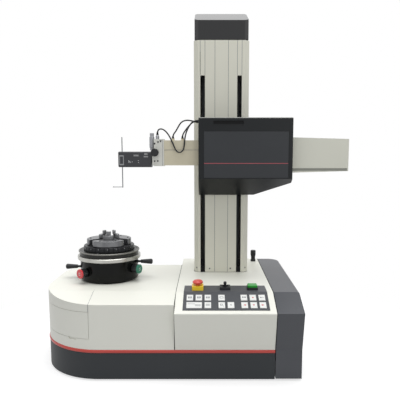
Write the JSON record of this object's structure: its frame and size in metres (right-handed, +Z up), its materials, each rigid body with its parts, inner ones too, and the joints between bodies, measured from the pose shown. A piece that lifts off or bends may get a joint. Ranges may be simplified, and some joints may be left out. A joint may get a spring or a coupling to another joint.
{
  "type": "roundness tester",
  "caption": "Bench roundness tester: rotary table with a small chuck, column with a lifting carriage, sliding arm with a stylus probe, and a sloping key console.",
  "frame": {"origin": "centre of the overall footprint on the surface it stands on", "axes": "+X to the right as seen from the console, +Y to the back, +Z up along the column"},
  "size_m": [0.76, 0.45, 0.905],
  "materials": {
    "beige_cover": "satin light beige paint",
    "dark_skirt": "matt dark grey paint",
    "red_trim": "satin red plastic",
    "side_dark": "satin charcoal moulding",
    "cast_metal": "machined casting",
    "steel_parts": "ground steel",
    "dark_steel": "blackened steel",
    "housing_black": "glossy black",
    "plate_metal": "dark ground plate",
    "bright_ring": "bright turned ring",
    "hood_dark": "glossy charcoal hood",
    "key_field": "matt membrane",
    "key_light": "light keys",
    "safety_yellow": "yellow block",
    "safety_red": "red plastic",
    "start_green": "green plastic",
    "knob_green": "green anodised look",
    "black_plastic": "black plastic",
    "carriage_black": "satin black paint",
    "carriage_panel": "dark grey panel",
    "arm_metal": "light cream paint",
    "arm_cover": "satin beige paint",
    "band_grey": "grey strip",
    "probe_dark": "charcoal housing",
    "holder_grey": "grey holder",
    "stylus_steel": "polished steel",
    "cable_black": "black cable"
  },
  "bodies": {
    "base": {"machine_bed": "cast_metal", "levelling_feet": "steel_parts", "base_skirt": "dark_skirt", "trim_strip": "red_trim", "left_cover": "beige_cover", "service_door": "beige_cover", "console_cover": "beige_cover", "side_cover": "side_dark", "rear_panel": "dark_skirt", "rear_sockets": "black_plastic", "key_panel": "key_field", "keys": "key_light", "estop_base": "safety_yellow", "control_bases": "black_plastic", "column_frame": "cast_metal", "column_front_cover": "beige_cover", "column_side_covers": "beige_cover", "slot_seals": "black_plastic", "column_cap": "hood_dark", "z_guide_rails": "steel_parts", "z_motor": "black_plastic", "spindle_housing": "cast_metal", "spindle_bearings": "steel_parts"},
    "screw": {"ball_screw": "steel_parts"},
    "table": {"spindle_shaft": "steel_parts", "centring_housing": "housing_black", "table_ring": "bright_ring", "table_plate": "plate_metal", "chuck_body": "dark_steel"},
    "chuck_ring": {"chuck_scroll_ring": "dark_steel"},
    "jaw_a": {"jaw_1": "dark_steel"},
    "jaw_b": {"jaw_2": "dark_steel"},
    "jaw_c": {"jaw_3": "dark_steel"},
    "red_centring_knob": {"red_knob": "safety_red"},
    "green_centring_knob": {"green_knob": "knob_green"},
    "lever_left": {"left_lever": "black_plastic"},
    "lever_right": {"right_lever": "black_plastic"},
    "carriage": {"carriage_cover": "carriage_black", "carriage_front_panel": "carriage_panel", "carriage_saddle": "carriage_black", "saddle_plate": "cast_metal", "guide_trucks": "steel_parts", "x_rail": "steel_parts"},
    "arm": {"arm_beam": "arm_metal", "arm_truck": "steel_parts", "arm_rear_cover": "arm_cover", "arm_cover_strip": "band_grey", "arm_end_bracket": "arm_metal", "probe_connector": "black_plastic", "probe_cable": "cable_black", "arm_cables": "cable_black"},
    "probe": {"probe_body": "probe_dark", "stylus_holder": "holder_grey"},
    "stylus": {"stylus": "stylus_steel"},
    "clamp": {"clamp_knob": "black_plastic"},
    "stop_button": {"estop_button": "safety_red"},
    "start_button": {"start_button": "start_green"},
    "stick_gimbal": {"joystick_gimbal": "black_plastic"},
    "stick": {"joystick_lever": "black_plastic"},
    "small_knob": {"column_knob": "black_plastic"}
  },
  "joints": [
    {"name": "z_slide", "type": "slide", "parent": "base", "child": "carriage", "axis": [0, 0, 1], "range_m": [-0.11, 0.2]},
    {"name": "screw_turn", "type": "hinge", "parent": "base", "child": "screw", "pos_m": [0.057, 0.083, 0.5], "axis": [0, 0, 1], "range_deg": [-4000, 7260]},
    {"name": "x_slide", "type": "slide", "parent": "carriage", "child": "arm", "axis": [1, 0, 0], "range_m": [-0.095, 0.085], "deforming": ["probe_cable", "arm_cables"]},
    {"name": "table_turn", "type": "hinge", "parent": "base", "child": "table", "pos_m": [-0.24, 0.005, 0.25], "axis": [0, 0, 1], "continuous": true},
    {"name": "chuck_ring_turn", "type": "hinge", "parent": "table", "child": "chuck_ring", "pos_m": [-0.24, 0.005, 0.274], "axis": [0, 0, 1], "range_deg": [-720, 864]},
    {"name": "jaw_a_slide", "type": "slide", "parent": "table", "child": "jaw_a", "axis": [0.7986, 0.6018, 0], "range_m": [-0.0102, 0.0122]},
    {"name": "jaw_b_slide", "type": "slide", "parent": "table", "child": "jaw_b", "axis": [-0.9205, 0.3907, 0], "range_m": [-0.0102, 0.0122]},
    {"name": "jaw_c_slide", "type": "slide", "parent": "table", "child": "jaw_c", "axis": [0.1219, -0.9925, 0], "range_m": [-0.0102, 0.0122]},
    {"name": "red_knob_turn", "type": "hinge", "parent": "table", "child": "red_centring_knob", "pos_m": [-0.29785, -0.06394, 0.217], "axis": [-0.6428, -0.766, 0], "range_deg": [-1080, 1080]},
    {"name": "green_knob_turn", "type": "hinge", "parent": "table", "child": "green_centring_knob", "pos_m": [-0.15981, -0.03586, 0.223], "axis": [0.891, -0.454, 0], "range_deg": [-1080, 1080]},
    {"name": "left_lever_turn", "type": "hinge", "parent": "table", "child": "lever_left", "pos_m": [-0.32994, 0.00186, 0.221], "axis": [-0.9994, -0.0349, 0], "range_deg": [-180, 180]},
    {"name": "right_lever_turn", "type": "hinge", "parent": "table", "child": "lever_right", "pos_m": [-0.15012, 0.00029, 0.235], "axis": [0.9986, -0.0523, 0], "range_deg": [-180, 180]},
    {"name": "probe_swivel", "type": "hinge", "parent": "arm", "child": "probe", "pos_m": [-0.11, 0.007, 0.503], "axis": [1, 0, 0], "range_deg": [-90, 90]},
    {"name": "stylus_deflect", "type": "hinge", "parent": "probe", "child": "stylus", "pos_m": [-0.201, 0.005, 0.503], "axis": [0, 1, 0], "range_deg": [-3, 3], "stiffness_Nm_per_rad": 0.2},
    {"name": "clamp_turn", "type": "hinge", "parent": "arm", "child": "clamp", "pos_m": [-0.1139, -0.02, 0.5206], "axis": [0, -1, 0], "range_deg": [-360, 360]},
    {"name": "stop_push", "type": "slide", "parent": "base", "child": "stop_button", "axis": [0, 0, -1], "range_m": [0, 0.004], "stiffness_N_per_m": 800, "springref_m": -0.002},
    {"name": "start_push", "type": "slide", "parent": "base", "child": "start_button", "axis": [0, 0, -1], "range_m": [0, 0.0025], "stiffness_N_per_m": 600, "springref_m": -0.0015},
    {"name": "stick_x_tilt", "type": "hinge", "parent": "base", "child": "stick_gimbal", "pos_m": [0.062, -0.125, 0.1992], "axis": [1, 0, 0], "range_deg": [-12, 12], "stiffness_Nm_per_rad": 0.05},
    {"name": "stick_y_tilt", "type": "hinge", "parent": "stick_gimbal", "child": "stick", "pos_m": [0.062, -0.125, 0.1992], "axis": [0, 1, 0], "range_deg": [-12, 12], "stiffness_Nm_per_rad": 0.05},
    {"name": "small_knob_turn", "type": "hinge", "parent": "base", "child": "small_knob", "pos_m": [0.1585, 0.188, 0.21], "axis": [0, 0, 1], "range_deg": [-150, 150]}
  ],
  "couplings": [
    {"joint": "screw_turn", "follows": "z_slide", "rad_per_m": 628.32},
    {"joint": "jaw_a_slide", "follows": "chuck_ring_turn", "m_per_rad": 0.00079577},
    {"joint": "jaw_b_slide", "follows": "chuck_ring_turn", "m_per_rad": 0.00079577},
    {"joint": "jaw_c_slide", "follows": "chuck_ring_turn", "m_per_rad": 0.00079577}
  ]
}
